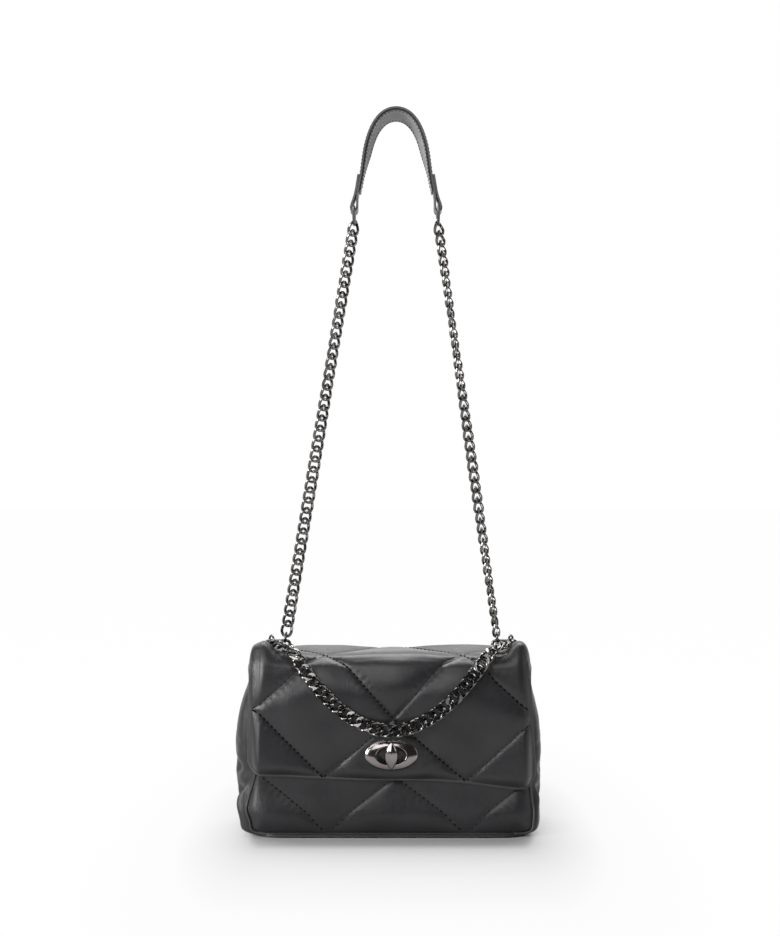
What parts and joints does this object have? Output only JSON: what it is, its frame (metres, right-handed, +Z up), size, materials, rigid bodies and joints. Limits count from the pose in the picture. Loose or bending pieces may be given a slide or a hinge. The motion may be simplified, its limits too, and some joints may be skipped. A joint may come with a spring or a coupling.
{
  "type": "chain shoulder bag",
  "caption": "Quilted leather flap shoulder bag with an oval turning clasp, a draped front chain and a curb-chain strap with a leather shoulder piece.",
  "frame": {"origin": "middle of the flat base, on the floor", "axes": "+X to the right of the bag as seen from the front, +Y to the back, +Z up"},
  "size_m": [0.24, 0.0893, 0.5879],
  "materials": {
    "leather": "smooth black leather with a soft sheen, quilted in large diamonds",
    "gunmetal": "polished dark gunmetal plating",
    "padding": "foam wadding",
    "lining": "plain woven lining",
    "board": "pressed fibre board",
    "magnet": "nickel-plated magnet in a thin cup"
  },
  "bodies": {
    "bag": {"front_panel": "leather", "front_padding": "padding", "back_panel": "leather", "back_padding": "padding", "gusset_left": "leather", "gusset_right": "leather", "base_panel": "leather", "base_board": "board", "lining": "lining", "top_lining": "lining", "inner_pocket": "lining", "body_magnet": "magnet", "d_ring_left": "gunmetal", "d_ring_right": "gunmetal", "ring_tab_left": "leather", "ring_tab_right": "leather"},
    "flap": {"flap_leather": "leather", "flap_padding": "padding", "flap_lining": "leather", "flap_magnet": "magnet", "clasp_plate": "gunmetal", "clasp_floor": "gunmetal", "clasp_backing": "gunmetal"},
    "knob": {"clasp_knob": "gunmetal", "clasp_retainer": "gunmetal"},
    "front_drape": {"front_ring_left": "gunmetal", "front_ring_right": "gunmetal", "front_chain": "gunmetal"},
    "strap_low": {"strap_ring_left": "gunmetal", "strap_ring_right": "gunmetal", "strap_chain_left_lower": "gunmetal", "strap_chain_right_lower": "gunmetal"},
    "strap_high": {"strap_chain_left_upper": "gunmetal", "strap_chain_right_upper": "gunmetal"},
    "shoulder": {"shoulder_leather": "leather", "shoulder_lining": "leather", "shoulder_ring_left": "gunmetal", "shoulder_ring_right": "gunmetal"}
  },
  "joints": [
    {"name": "flap_open", "type": "hinge", "parent": "bag", "child": "flap", "pos_m": [0, 0, 0.151], "axis": [-1, 0, 0], "range_deg": [0, 60]},
    {"name": "front_chain_swing", "type": "hinge", "parent": "flap", "child": "front_drape", "pos_m": [0, 0, 0.151], "axis": [-1, 0, 0], "range_deg": [0, 50]},
    {"name": "knob_turn", "type": "hinge", "parent": "flap", "child": "knob", "pos_m": [0, -0.04345, 0.066], "axis": [0, -0.9998, 0.0178], "range_deg": [0, 90]},
    {"name": "strap_swing", "type": "hinge", "parent": "bag", "child": "strap_low", "pos_m": [0, 0, 0.151], "axis": [-1, 0, 0], "range_deg": [-45, 85]},
    {"name": "strap_fold", "type": "hinge", "parent": "strap_low", "child": "strap_high", "pos_m": [0, 0, 0.32533], "axis": [-1, 0, 0], "range_deg": [-35, 40]},
    {"name": "shoulder_rock", "type": "hinge", "parent": "strap_high", "child": "shoulder", "pos_m": [0, 0, 0.492], "axis": [-1, 0, 0], "range_deg": [-20, 20]}
  ]
}
